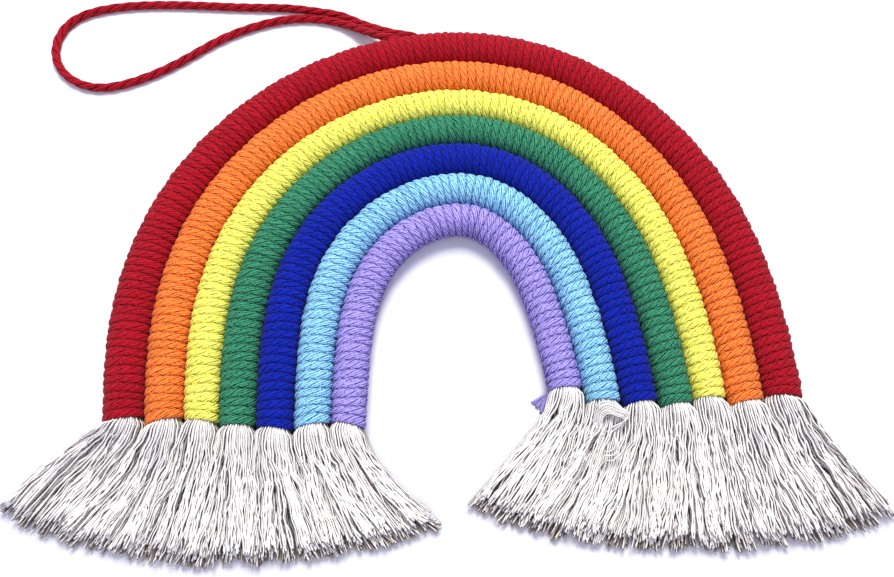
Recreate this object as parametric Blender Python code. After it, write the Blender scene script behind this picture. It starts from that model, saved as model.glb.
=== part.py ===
"""Cord-wrapped rainbow wall hanging with a cotton fringe, lying on its back.

Seven arches of thick rope, each wound from end to end with coloured cotton cord, are fixed side
by side. Below the windings the rope is combed out into fourteen tassels. A loop of twisted red
cord comes out of the outermost arch, to hang the piece by.

+X runs to the right, +Y towards the top of the arches and +Z up from the surface that the
hanging lies on. Sizes are in metres.
"""

import math
from collections import namedtuple

import bmesh
import bpy
import numpy as np

MM = 0.001

# Driving sizes
PIECE_GAP = 0.3 * MM
ARCH_SIDES = 12
ARCH_STEPS = 32

LOOP_DIAMETER = 4.2 * MM
LOOP_PLIES = 3
LOOP_TWIST = 8.4 * MM
LOOP_GROOVE = 0.72
STEPS_PER_TWIST = 6

LOCK_COLUMNS = 5
LOCK_ROWS = 3
LOCK_STATIONS = (0.10, 0.38, 0.68, 1.0)
LOCK_TAPER = (1.0, 0.95, 0.92, 0.84)
LOCK_SPACE = 0.08
NECK_SHARE = 0.92
NECK_ROUNDNESS = 0.42
TASSEL_SPACE = 1.2 * MM
PILE_HEIGHT = 5.4 * MM
LAYER_STAGGER = 0.045
END_RAGGEDNESS = 1.6 * MM
LOCK_STRAIGHTNESS = 0.75

# One row for each arch, from the innermost to the outermost. The ends are where the winding
# stops on the left and on the right leg, along Y.
Arch = namedtuple("Arch", "name thickness left_end right_end colour")
ARCHES = (
    Arch("lavender", 13.5 * MM, -66.9 * MM, -53.5 * MM, (0.42, 0.29, 0.74)),
    Arch("sky", 14.15 * MM, -67.5 * MM, -58.4 * MM, (0.22, 0.55, 0.87)),
    Arch("blue", 14.55 * MM, -67.8 * MM, -59.0 * MM, (0.01, 0.03, 0.40)),
    Arch("green", 14.3 * MM, -67.1 * MM, -59.8 * MM, (0.03, 0.24, 0.11)),
    Arch("yellow", 13.7 * MM, -66.3 * MM, -56.8 * MM, (0.98, 0.90, 0.10)),
    Arch("orange", 14.8 * MM, -65.9 * MM, -58.8 * MM, (0.98, 0.25, 0.04)),
    Arch("red", 15.75 * MM, -65.0 * MM, -56.8 * MM, (0.38, 0.01, 0.02)),
)

# The innermost arch's centre line on the surface, from below its left end to below its right end.
Place = namedtuple("Place", "x y")
INNER_LINE = (
    Place(-37.2 * MM, -76.0 * MM),
    Place(-36.9 * MM, -41.6 * MM),
    Place(-32.1 * MM, -11.0 * MM),
    Place(-15.5 * MM, 12.2 * MM),
    Place(10.3 * MM, 19.1 * MM),
    Place(27.9 * MM, 5.2 * MM),
    Place(38.2 * MM, -17.0 * MM),
    Place(44.3 * MM, -42.7 * MM),
    Place(48.4 * MM, -69.0 * MM),
)
# How full the arches are along that line: fullest over the left shoulder, drawn in at the feet.
Fullness = namedtuple("Fullness", "share factor")
FULLNESS = (
    Fullness(0.00, 0.966),
    Fullness(0.12, 1.013),
    Fullness(0.30, 1.053),
    Fullness(0.50, 1.022),
    Fullness(0.70, 1.014),
    Fullness(0.88, 0.981),
    Fullness(1.00, 0.947),
)

# One row for each side's fringe, seen from above with its tips down: the lean of its outermost
# strands, in degrees to the right of straight down, and their lengths at three places.
Fringe = namedtuple("Fringe", "side lean_first lean_last long_first long_middle long_last")
FRINGES = (
    Fringe("left", -51.0, 42.0, 44.0 * MM, 46.5 * MM, 43.0 * MM),
    Fringe("right", -36.0, 35.0, 46.5 * MM, 56.5 * MM, 50.0 * MM),
)
LEAN_POWER = 2.2

# The cut end of the lavender cord, beside the right foot.
CORD_END_ROOT = Place(38.1 * MM, -53.9 * MM)
CORD_END_LEAN = -38.0
CORD_END_LENGTH = 9.0 * MM
CORD_END_RADIUS = 1.5 * MM
CORD_END_SPREAD = 2.0
CORD_END_COLUMNS = 4

# The hanging loop's route, from one end at the red arch round and back to it.
LoopPoint = namedtuple("LoopPoint", "x y z")
FLOOR_Z = LOOP_DIAMETER / 2
LOOP_ROUTE = (
    LoopPoint(-20.8 * MM, 114.1 * MM, 12.7 * MM),
    LoopPoint(-33.1 * MM, 120.8 * MM, 8.5 * MM),
    LoopPoint(-41.9 * MM, 126.4 * MM, 5.5 * MM),
    LoopPoint(-50.6 * MM, 132.0 * MM, 3.2 * MM),
    LoopPoint(-62.2 * MM, 135.6 * MM, FLOOR_Z),
    LoopPoint(-73.6 * MM, 137.4 * MM, FLOOR_Z),
    LoopPoint(-96.2 * MM, 138.3 * MM, FLOOR_Z),
    LoopPoint(-120.0 * MM, 139.4 * MM, FLOOR_Z),
    LoopPoint(-143.1 * MM, 139.8 * MM, FLOOR_Z),
    LoopPoint(-161.4 * MM, 138.2 * MM, FLOOR_Z),
    LoopPoint(-172.5 * MM, 135.3 * MM, FLOOR_Z),
    LoopPoint(-180.4 * MM, 130.6 * MM, FLOOR_Z),
    LoopPoint(-185.2 * MM, 123.2 * MM, FLOOR_Z),
    LoopPoint(-186.4 * MM, 114.6 * MM, FLOOR_Z),
    LoopPoint(-184.0 * MM, 105.4 * MM, FLOOR_Z),
    LoopPoint(-178.2 * MM, 97.8 * MM, FLOOR_Z),
    LoopPoint(-170.2 * MM, 92.8 * MM, FLOOR_Z),
    LoopPoint(-162.2 * MM, 91.0 * MM, FLOOR_Z),
    LoopPoint(-153.7 * MM, 91.9 * MM, FLOOR_Z),
    LoopPoint(-144.2 * MM, 95.2 * MM, FLOOR_Z),
    LoopPoint(-132.3 * MM, 101.4 * MM, FLOOR_Z),
    LoopPoint(-120.6 * MM, 109.6 * MM, FLOOR_Z),
    LoopPoint(-109.0 * MM, 118.2 * MM, FLOOR_Z),
    LoopPoint(-94.9 * MM, 125.6 * MM, FLOOR_Z),
    LoopPoint(-80.5 * MM, 130.2 * MM, FLOOR_Z),
    LoopPoint(-62.6 * MM, 130.6 * MM, 2.5 * MM),
    LoopPoint(-50.3 * MM, 126.5 * MM, 4.2 * MM),
    LoopPoint(-41.4 * MM, 121.0 * MM, 6.8 * MM),
    LoopPoint(-35.5 * MM, 116.1 * MM, 9.5 * MM),
    LoopPoint(-30.7 * MM, 112.2 * MM, 11.8 * MM),
)

FRINGE_COLOUR = (0.86, 0.82, 0.76)


def spline(knots, values, at):
    """Natural cubic spline through the values at the knots: its values and slopes at the places."""
    steps = np.diff(knots)
    count = len(knots)
    matrix = np.eye(count)
    turns = np.zeros_like(values)
    for i in range(1, count - 1):
        matrix[i, i - 1:i + 2] = steps[i - 1], 2.0 * (steps[i - 1] + steps[i]), steps[i]
        after = (values[i + 1] - values[i]) / steps[i]
        before = (values[i] - values[i - 1]) / steps[i - 1]
        turns[i] = 6.0 * (after - before)
    bends = np.linalg.solve(matrix, turns)

    span = np.clip(np.searchsorted(knots, at, side="right") - 1, 0, count - 2)
    step = steps[span][:, None]
    low = (knots[span + 1] - at)[:, None]
    high = (at - knots[span])[:, None]
    first = values[span] / step - bends[span] * step / 6.0
    last = values[span + 1] / step - bends[span + 1] * step / 6.0
    bent = (bends[span] * low ** 3 + bends[span + 1] * high ** 3) / (6.0 * step)
    slopes = (bends[span + 1] * high ** 2 - bends[span] * low ** 2) / (2.0 * step) - first + last
    return bent + first * low + last * high, slopes


def smooth_line(points, shares):
    """The smooth line through the points, and its direction, at shares 0 to 1 of its way."""
    points = np.array(points, float)
    knots = np.concatenate([[0.0], np.cumsum(np.linalg.norm(np.diff(points, axis=0), axis=1))])
    places, runs = spline(knots, points, np.asarray(shares, float) * knots[-1])
    return places, runs / np.linalg.norm(runs, axis=1)[:, None]


def fullness(shares):
    """How much thicker than its nominal size an arch is at each share of the way along it."""
    table = np.array(FULLNESS)
    return spline(table[:, 0], table[:, 1:], shares)[0][:, 0]


def arch_line(rank, shares):
    """One arch's centre line on the surface, its direction and its radius at the shares."""
    line, runs = smooth_line(INNER_LINE, shares)
    outward = np.stack([-runs[:, 1], runs[:, 0]], axis=1)
    inner = ARCHES[0].thickness / 2
    below = sum(arch.thickness for arch in ARCHES[:rank])
    offset = below + ARCHES[rank].thickness / 2 - inner
    full = fullness(shares)
    centres = line + outward * (offset * full)[:, None]
    return centres, runs, ARCHES[rank].thickness / 2 * full


def end_shares(rank):
    """The shares of the way along at which an arch's winding stops, left and right."""
    shares = np.linspace(0.0, 1.0, 400)
    heights = arch_line(rank, shares)[0][:, 1]
    top = int(np.argmax(heights))
    arch = ARCHES[rank]
    left = np.interp(arch.left_end, heights[:top], shares[:top])
    right = np.interp(-arch.right_end, -heights[top:], shares[top:])
    return left, right


def coloured_material(name, colour, roughness):
    """A plain cotton material."""
    material = bpy.data.materials.new(name)
    material.use_nodes = True
    shader = material.node_tree.nodes["Principled BSDF"]
    shader.inputs["Base Color"].default_value = (*colour, 1.0)
    shader.inputs["Roughness"].default_value = roughness
    shader.inputs["Metallic"].default_value = 0.0
    return material


def add_object(name, data, colour, parent, location=(0.0, 0.0, 0.0)):
    """Link an object with its own material and hang it on its parent."""
    data.materials.append(coloured_material(name, colour, 0.9))
    piece = bpy.data.objects.new(name, data)
    bpy.context.scene.collection.objects.link(piece)
    piece.parent = parent
    piece.location = location
    return piece


def finished_mesh(name, points, faces, smooth):
    """A mesh whose faces all look outwards."""
    mesh = bpy.data.meshes.new(name)
    mesh.from_pydata([tuple(point) for point in points], [], faces)
    form = bmesh.new()
    form.from_mesh(mesh)
    bmesh.ops.recalc_face_normals(form, faces=form.faces)
    form.to_mesh(mesh)
    form.free()
    if smooth:
        mesh.shade_smooth()
        mesh.set_sharp_from_angle(angle=math.radians(50.0))
    return mesh


def build_arch(rank, parent):
    """A wound arch: a many-sided tube that lies on one of its flats."""
    arch = ARCHES[rank]
    ends = [end_shares(i) for i in range(len(ARCHES))]
    first = max(left for left, right in ends)
    last = min(right for left, right in ends)
    inner = np.linspace(first, last, ARCH_STEPS + 1)[1:-1]
    shares = np.concatenate([[ends[rank][0]], inner, [ends[rank][1]]])
    centres, runs, radii = arch_line(rank, shares)
    flats = radii - PIECE_GAP / 2
    corners = flats / math.cos(math.pi / ARCH_SIDES)
    outward = np.stack([-runs[:, 1], runs[:, 0]], axis=1)

    points = []
    for centre, out, flat, corner in zip(centres, outward, flats, corners):
        for side in range(ARCH_SIDES):
            angle = 2.0 * math.pi * (side + 0.5) / ARCH_SIDES
            spot = centre + out * corner * math.cos(angle)
            points.append((spot[0], spot[1], flat + corner * math.sin(angle)))
    rings = len(shares)
    faces = []
    for ring in range(rings - 1):
        for side in range(ARCH_SIDES):
            after = (side + 1) % ARCH_SIDES
            here = ring * ARCH_SIDES
            there = here + ARCH_SIDES
            faces.append((here + side, here + after, there + after, there + side))
    faces.append(tuple(range(ARCH_SIDES)))
    faces.append(tuple(range((rings - 1) * ARCH_SIDES, rings * ARCH_SIDES)))
    name = "arch_" + arch.name
    add_object(name, finished_mesh(name, points, faces, smooth=True), arch.colour, parent)


def split_lines(cells, space):
    """The two edges of each cell across a width from -1 to 1, with a space between cells."""
    width = 2.0 / cells
    edges = []
    for cell in range(cells):
        low = -1.0 + width * cell + (space / 2 if cell > 0 else 0.0)
        high = -1.0 + width * (cell + 1) - (space / 2 if cell < cells - 1 else 0.0)
        edges += [low, high]
    return edges


def build_locks(name, place, columns, rows, colour, parent, location):
    """A bundle with one root and a lock for each cell of its end, all in one closed skin.

    place(across, up, share, lock) gives a point, with across and up from -1 to 1 over the
    bundle's section, share from 0 at the root to 1 at the tips, and the lock's number or None.
    """
    across_lines = split_lines(columns, LOCK_SPACE)
    up_lines = split_lines(rows, LOCK_SPACE)
    wide = len(across_lines)
    high = len(up_lines)
    rim = [(i, 0) for i in range(wide)] + [(wide - 1, j) for j in range(1, high)]
    rim += [(i, high - 1) for i in range(wide - 2, -1, -1)] + [(0, j) for j in range(high - 2, 0, -1)]

    points = [place(across_lines[i], up_lines[j], 0.0, None) for i, j in rim]
    grid = {}
    for i in range(wide):
        for j in range(high):
            grid[i, j] = len(points)
            points.append(place(across_lines[i], up_lines[j], LOCK_STATIONS[0], None))

    faces = [tuple(range(len(rim)))]
    for number, here in enumerate(rim):
        after = (number + 1) % len(rim)
        faces.append((number, after, grid[rim[after]], grid[here]))
    for i in range(wide - 1):
        for j in range(high - 1):
            root = (grid[i, j], grid[i + 1, j], grid[i + 1, j + 1], grid[i, j + 1])
            if i % 2 or j % 2:
                faces.append(root)
                continue
            lock = (i // 2) * rows + j // 2
            middle = (across_lines[i] + across_lines[i + 1]) / 2
            base = up_lines[j]
            ring = root
            for share, taper in zip(LOCK_STATIONS[1:], LOCK_TAPER[1:]):
                half = (across_lines[i + 1] - across_lines[i]) / 2 * taper
                top = base + (up_lines[j + 1] - base) * taper
                corners = ((-half, base), (half, base), (half, top), (-half, top))
                start = len(points)
                points += [place(middle + shift, up, share, lock) for shift, up in corners]
                following = tuple(range(start, start + 4))
                for side in range(4):
                    after = (side + 1) % 4
                    faces.append((ring[side], ring[after], following[after], following[side]))
                ring = following
            faces.append(ring)
    origin = np.array(location)
    mesh = finished_mesh(name, [point - origin for point in points], faces, smooth=False)
    add_object(name, mesh, colour, parent, location)


def quadratic(first, middle, last, share):
    """The value at a share between first and last, with middle at the half."""
    bulge = 4.0 * share * (1.0 - share)
    straight = first + (last - first) * share
    return straight + (middle - (first + last) / 2) * bulge


def soft_step(value):
    """0 below 0, 1 above 1, and smooth between."""
    value = min(max(value, 0.0), 1.0)
    return value * value * (3.0 - 2.0 * value)


def neck_of(rank, side):
    """Where an arch's rope comes out of its winding: centre, way out, way across, radius."""
    left, right = end_shares(rank)
    share = left if side == "left" else right
    centres, runs, radii = arch_line(rank, np.array([share]))
    out = -runs[0] if side == "left" else runs[0]
    across = np.array([-out[1], out[0]])
    return centres[0] + out * PIECE_GAP, out, across, radii[0]


def build_fringe(fringe, parent):
    """The seven tassels on one side, which fan out from their necks and come down to the floor."""
    ranks = list(range(len(ARCHES)))
    if fringe.side == "left":
        ranks.reverse()
    necks = [neck_of(rank, fringe.side) for rank in ranks]
    first = necks[0][0] - necks[0][2] * necks[0][3]
    last = necks[-1][0] + necks[-1][2] * necks[-1][3]
    widths = np.array([neck[3] for neck in necks])
    marks = np.concatenate([[0.0], np.cumsum(widths)]) / widths.sum()
    chance = np.random.default_rng(11 if fringe.side == "left" else 23)

    def tip_of(share):
        lean = fringe.lean_first * (1.0 - share) ** LEAN_POWER + fringe.lean_last * share ** LEAN_POWER
        long = quadratic(fringe.long_first, fringe.long_middle, fringe.long_last, share)
        way = np.array([math.sin(math.radians(lean)), -math.cos(math.radians(lean))])
        return first + (last - first) * share + way * long

    spread = np.linalg.norm(tip_of(1.0) - tip_of(0.0))
    border = TASSEL_SPACE / 2 / spread
    for order, (rank, (neck, out, along, radius)) in enumerate(zip(ranks, necks)):
        low = marks[order] + border
        high = marks[order + 1] - border
        ragged = chance.uniform(-1.0, 1.0, LOCK_COLUMNS * LOCK_ROWS) * END_RAGGEDNESS
        thick = radius * NECK_SHARE

        def place(across, up, share, lock):
            flat = soft_step(share / 0.45)
            rounded = across * math.sqrt(1.0 - NECK_ROUNDNESS * up * up)
            swept = rounded + (across - rounded) * flat
            root = neck + along * (swept * thick)
            tip = tip_of(low + (high - low) * (across + 1.0) / 2)
            reach = tip - root
            long = np.linalg.norm(reach)
            extra = 0.0 if lock is None else ragged[lock] / long
            tip = root + reach * (1.0 - LAYER_STAGGER * up + extra)
            turn = root + (reach * LOCK_STRAIGHTNESS + out * (long * (1.0 - LOCK_STRAIGHTNESS))) / 2
            spot = root * (1 - share) ** 2 + turn * 2 * share * (1 - share) + tip * share ** 2
            round_z = radius + up * math.sqrt(1.0 - NECK_ROUNDNESS * across * across) * thick
            pile = 2.0 * thick + (PILE_HEIGHT - 2.0 * thick) * share ** 0.8
            flat_z = (up + 1.0) / 2 * pile
            return np.array([spot[0], spot[1], round_z + (flat_z - round_z) * flat])

        name = "tassel_" + fringe.side + "_" + ARCHES[rank].name
        location = (neck[0], neck[1], 0.0)
        build_locks(name, place, LOCK_COLUMNS, LOCK_ROWS, FRINGE_COLOUR, parent, location)


def build_cord_end(parent):
    """The frayed end of the lavender cord, lying beside the right foot."""
    lean = math.radians(CORD_END_LEAN)
    way = np.array([math.sin(lean), -math.cos(lean)])
    along = np.array([-way[1], way[0]])
    root = np.array(CORD_END_ROOT)

    def place(across, up, share, lock):
        wide = CORD_END_RADIUS * (1.0 + (CORD_END_SPREAD - 1.0) * share)
        thick = CORD_END_RADIUS * (2.0 - share)
        spot = root + way * (CORD_END_LENGTH * share) + along * (across * wide)
        return np.array([spot[0], spot[1], (up + 1.0) / 2 * thick])

    location = (CORD_END_ROOT.x, CORD_END_ROOT.y, 0.0)
    build_locks("cord_end_lavender", place, CORD_END_COLUMNS, 1, ARCHES[0].colour, parent, location)


def build_loop(parent):
    """The hanging loop: a three-ply cord swept along its route, turning as it goes."""
    profile = bpy.data.curves.new("loop_section", "CURVE")
    profile.dimensions = "2D"
    outline = profile.splines.new("POLY")
    corners = 2 * LOOP_PLIES
    outline.points.add(corners - 1)
    for number, point in enumerate(outline.points):
        radius = LOOP_DIAMETER / 2 * (1.0 if number % 2 == 0 else LOOP_GROOVE)
        angle = 2.0 * math.pi * number / corners
        point.co = (radius * math.cos(angle), -radius * math.sin(angle), 0.0, 1.0)
    outline.use_cyclic_u = True
    section = bpy.data.objects.new("loop_section", profile)
    bpy.context.scene.collection.objects.link(section)
    section.hide_render = True
    section.display_type = "WIRE"

    dense = smooth_line(LOOP_ROUTE, np.linspace(0.0, 1.0, 600))[0]
    way = np.concatenate([[0.0], np.cumsum(np.linalg.norm(np.diff(dense, axis=0), axis=1))])
    steps = round(way[-1] / LOOP_TWIST * STEPS_PER_TWIST)
    marks = np.linspace(0.0, way[-1], steps + 1)
    cord = bpy.data.curves.new("hanging_loop", "CURVE")
    cord.dimensions = "3D"
    cord.bevel_mode = "OBJECT"
    cord.bevel_object = section
    cord.use_fill_caps = True
    line = cord.splines.new("POLY")
    line.points.add(steps)
    for point, mark in zip(line.points, marks):
        point.co = (*(np.interp(mark, way, dense[:, axis]) for axis in range(3)), 1.0)
        point.tilt = 2.0 * math.pi * mark / LOOP_TWIST
    add_object("hanging_loop", cord, ARCHES[-1].colour, parent)


def main():
    """Clear the scene and build every piece of the hanging."""
    for leftover in list(bpy.data.objects):
        bpy.data.objects.remove(leftover, do_unlink=True)
    hanging = bpy.data.objects.new("hanging", None)
    bpy.context.scene.collection.objects.link(hanging)
    for rank in range(len(ARCHES)):
        build_arch(rank, hanging)
    for fringe in FRINGES:
        build_fringe(fringe, hanging)
    build_cord_end(hanging)
    build_loop(hanging)


main()
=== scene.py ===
# %% [markdown]
# # A rainbow wall hanging, wound, combed out and laid down
# This lesson dresses a wall hanging made of seven thick ropes. Each rope is wound from end to end
# with coloured cotton cord and bent into an arch, and the rope below the winding is combed out
# into a fringe. A loop of twisted cord hangs it up. Here it lies on its back on a white surface.
# The solids that carry the piece are loaded first, and every new surface is worked out with numpy
# around them: a shape is a function of two numbers on a grid, evaluated as whole arrays.
# Everything is in metres, and MM turns a size in millimetres into metres.

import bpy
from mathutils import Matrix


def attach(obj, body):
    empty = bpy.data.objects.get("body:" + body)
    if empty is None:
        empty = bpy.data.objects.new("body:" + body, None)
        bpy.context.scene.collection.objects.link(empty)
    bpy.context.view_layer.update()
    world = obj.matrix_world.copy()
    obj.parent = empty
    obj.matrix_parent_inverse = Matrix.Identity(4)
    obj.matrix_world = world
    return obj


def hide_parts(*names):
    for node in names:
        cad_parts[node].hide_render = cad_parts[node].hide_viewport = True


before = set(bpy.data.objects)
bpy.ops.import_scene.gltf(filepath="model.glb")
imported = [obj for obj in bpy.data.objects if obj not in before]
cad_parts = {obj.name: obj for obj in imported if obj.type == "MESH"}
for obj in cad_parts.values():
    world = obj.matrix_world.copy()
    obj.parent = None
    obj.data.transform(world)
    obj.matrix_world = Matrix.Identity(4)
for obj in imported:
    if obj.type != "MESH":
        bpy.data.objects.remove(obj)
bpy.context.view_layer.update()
print("solids:", len(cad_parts))

# %% Names for what the lesson uses
import math
from collections import namedtuple

import bpy
import numpy as np

MM = 0.001

# %% [markdown]
# ## The camera
# A photographer stood at the fringe's side and looked down at the hanging, steeply and from close
# by, with a wide lens. A camera in Blender looks along its own -Z, so a camera that lies flat
# looks straight down. Turning it about X by the tilt swings its view up the page, towards +Y.
# The focal length goes with a sensor 36 mm wide, Blender's default.

# %% Set the camera up
CAMERA_PLACE = (0.3 * MM, -121.6 * MM, 284.8 * MM)
CAMERA_TILT = math.radians(21.6)
LENS = 29.48


def add_camera():
    """A camera at the photographer's place, which looks down and along +Y."""
    data = bpy.data.cameras.new("camera")
    data.lens = LENS
    camera = bpy.data.objects.new("camera", data)
    camera.location = CAMERA_PLACE
    camera.rotation_euler = (CAMERA_TILT, 0.0, 0.0)
    bpy.context.scene.collection.objects.link(camera)
    bpy.context.scene.camera = camera


add_camera()
print("camera looks down at", round(90 - math.degrees(CAMERA_TILT), 1), "degrees")

# %% [markdown]
# ## Smooth lines
# A rope or cord lies in one smooth curve, however few points it is drawn with. A natural cubic
# spline gives such a curve: between two points it is a cubic, and slope and bend agree where two
# cubics meet. The bends at the points come out of one small system of linear equations.

# %% A smooth line through a few points
Spot = namedtuple("Spot", "x y z")


def route(*spots):
    """A line given as rows of x, y and z in millimetres."""
    return tuple(Spot(*(value * MM for value in spot)) for spot in spots)


def spline(knots, values, at):
    """Natural cubic spline: values and slopes at the places, from one row of values for each knot.

    With steps h and bends m, each inner knot has h0 m0 + 2 (h0 + h1) m1 + h1 m2 = 6 (change of
    slope), and the bends at both ends are zero.
    """
    steps = np.diff(knots)
    middle = np.concatenate([[1.0], 2.0 * (steps[:-1] + steps[1:]), [1.0]])
    above = np.diag(np.concatenate([[0.0], steps[1:]]), 1)
    below = np.diag(np.concatenate([steps[:-1], [0.0]]), -1)
    slopes = np.diff(values, axis=0) / steps[:, None]
    changes = np.zeros_like(values)
    changes[1:-1] = 6.0 * np.diff(slopes, axis=0)
    bends = np.linalg.solve(np.diag(middle) + above + below, changes)

    span = np.clip(np.searchsorted(knots, at, side="right") - 1, 0, len(knots) - 2)
    step = steps[span][:, None]
    low = (knots[span + 1] - at)[:, None]
    high = (at - knots[span])[:, None]
    first = values[span] / step - bends[span] * step / 6.0
    last = values[span + 1] / step - bends[span + 1] * step / 6.0
    bent = (bends[span] * low ** 3 + bends[span + 1] * high ** 3) / (6.0 * step)
    turn = (bends[span + 1] * high ** 2 - bends[span] * low ** 2) / (2.0 * step)
    return bent + first * low + last * high, turn - first + last


def lengths_along(points):
    """The length of a line of points up to each of them."""
    return np.concatenate([[0.0], np.cumsum(np.linalg.norm(np.diff(points, axis=0), axis=1))])


def smooth_line(points, shares):
    """The smooth line through the points, and its direction, at shares 0 to 1 of its way."""
    points = np.array(points, float)
    knots = lengths_along(points)
    places, runs = spline(knots, points, np.asarray(shares, float) * knots[-1])
    return places, runs / np.linalg.norm(runs, axis=1)[:, None]


# %% [markdown]
# ## From arrays to a mesh
# numpy gives a table of points and tables of faces, which name their corners by number. Blender
# takes whole tables at once with foreach_set, which is far quicker than adding faces one by one.
# The pattern of a cord follows the cord, so each mesh also gets a UV map that is not a picture's:
# its first number runs along the cord and its second one round it. The volume says whether the
# faces look outwards, because it comes out negative when they look in.


# %% Make a mesh from tables
def add_mesh(name, points, faces, lays, smooth=True):
    """A piece from its points, its blocks of faces, and for each block its corners' UV pairs."""
    corners = np.concatenate([block.ravel() for block in faces])
    sizes = np.concatenate([np.full(len(block), block.shape[1]) for block in faces])
    mesh = bpy.data.meshes.new(name)
    mesh.vertices.add(len(points))
    mesh.vertices.foreach_set("co", np.asarray(points, np.float32).ravel())
    mesh.loops.add(len(corners))
    mesh.loops.foreach_set("vertex_index", corners.astype(np.int32))
    mesh.polygons.add(len(sizes))
    mesh.polygons.foreach_set("loop_start", (np.cumsum(sizes) - sizes).astype(np.int32))
    mesh.update(calc_edges=True)
    lay = mesh.uv_layers.new(name="lay")
    pairs = np.concatenate([block.reshape(-1, 2) for block in lays])
    lay.uv.foreach_set("vector", pairs.astype(np.float32).ravel())
    if smooth:
        mesh.shade_smooth()
    piece = bpy.data.objects.new(name, mesh)
    bpy.context.scene.collection.objects.link(piece)

    fans = np.concatenate([points[block[:, [0, corner, corner + 1]]] for block in faces
                           for corner in range(1, block.shape[1] - 1)])
    volume = np.einsum("ij,ij->", fans[:, 0], np.cross(fans[:, 1], fans[:, 2])) / 6.0
    print(f"{name}: {len(fans)} triangles, {volume * 1e6:.2f} cubic centimetres")
    return piece


# %% [markdown]
# ## Tubes carried along paths
# A cord, a yarn and a loose fibre are all the same shape: a small closed profile carried along a
# path. One function makes any number of them together. The paths are one array of strands, steps
# and xyz, and the radius may change with the strand, the step and the angle, so a three-ply cord
# is a tube whose radius has three rounded lobes that turn as it goes.


# %% Carry a profile along many paths at once
def corner_pairs(*corners):
    """UV pairs of four-cornered faces, from a pair of arrays for each corner."""
    return np.stack([np.stack(pair, axis=-1) for pair in corners], axis=-2)


def carry_tubes(paths, radii, twist=1.0, turned=0.0):
    """Points, faces and UV pairs of closed tubes round the paths.

    At angle t round a strand the surface is path + radius (cos t side + sin t top), where side is
    the unit vector of run x Z and top is that of side x run. The first corner is turned on by a
    share of a turn. UV is (length / twist, angle in turns).
    """
    strands, steps, sides = radii.shape
    runs = np.gradient(paths, axis=1)
    runs /= np.linalg.norm(runs, axis=2, keepdims=True)
    side = np.cross(runs, [0.0, 0.0, 1.0])
    side /= np.linalg.norm(side, axis=2, keepdims=True)
    top = np.cross(side, runs)
    angles = math.tau * (np.arange(sides) / sides + turned)
    around = np.cos(angles)[:, None] * side[:, :, None] + np.sin(angles)[:, None] * top[:, :, None]
    skin = paths[:, :, None] + radii[..., None] * around
    points = np.concatenate([skin.reshape(strands, -1, 3), paths[:, :1], paths[:, -1:]], axis=1)

    strand, step, corner = np.ix_(np.arange(strands), np.arange(steps - 1), np.arange(sides))
    base = strand * (steps * sides + 2) + step * sides
    after = (corner + 1) % sides
    beyond = base + sides
    quads = np.stack([base + corner, beyond + corner, beyond + after, base + after], axis=-1)
    start = np.arange(strands)[:, None] * (steps * sides + 2)
    ring = np.arange(sides)[None, :]
    following = (ring + 1) % sides
    first = np.stack([start + steps * sides + 0 * ring, start + ring, start + following], axis=-1)
    end = start + (steps - 1) * sides
    last = np.stack([start + steps * sides + 1 + 0 * ring, end + following, end + ring], axis=-1)

    way = np.cumsum(np.linalg.norm(np.diff(paths, axis=1), axis=2), axis=1)
    way = np.concatenate([np.zeros((strands, 1)), way], axis=1) / twist
    low = way[:, :-1, None] + np.zeros(sides)
    high = way[:, 1:, None] + np.zeros(sides)
    here = np.broadcast_to(np.arange(sides) / sides + turned, low.shape)
    there = here + 1.0 / sides
    lay = corner_pairs((low, here), (high, here), (high, there), (low, there))
    blank = np.zeros((strands * sides, 3, 2))
    faces = [quads.reshape(-1, 4), first.reshape(-1, 3), last.reshape(-1, 3)]
    return points.reshape(-1, 3), faces, [lay.reshape(-1, 4, 2), blank, blank]


# %% [markdown]
# ## Materials as sums
# A material is a small calculation that is done for every point of a surface. Written with plain
# operators it reads like one. The class below wraps one output socket: adding, multiplying and so
# on puts a Math node behind it, and make() adds any other kind of node. Colours go through a Mix
# node, because a Math node would turn them grey.


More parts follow.
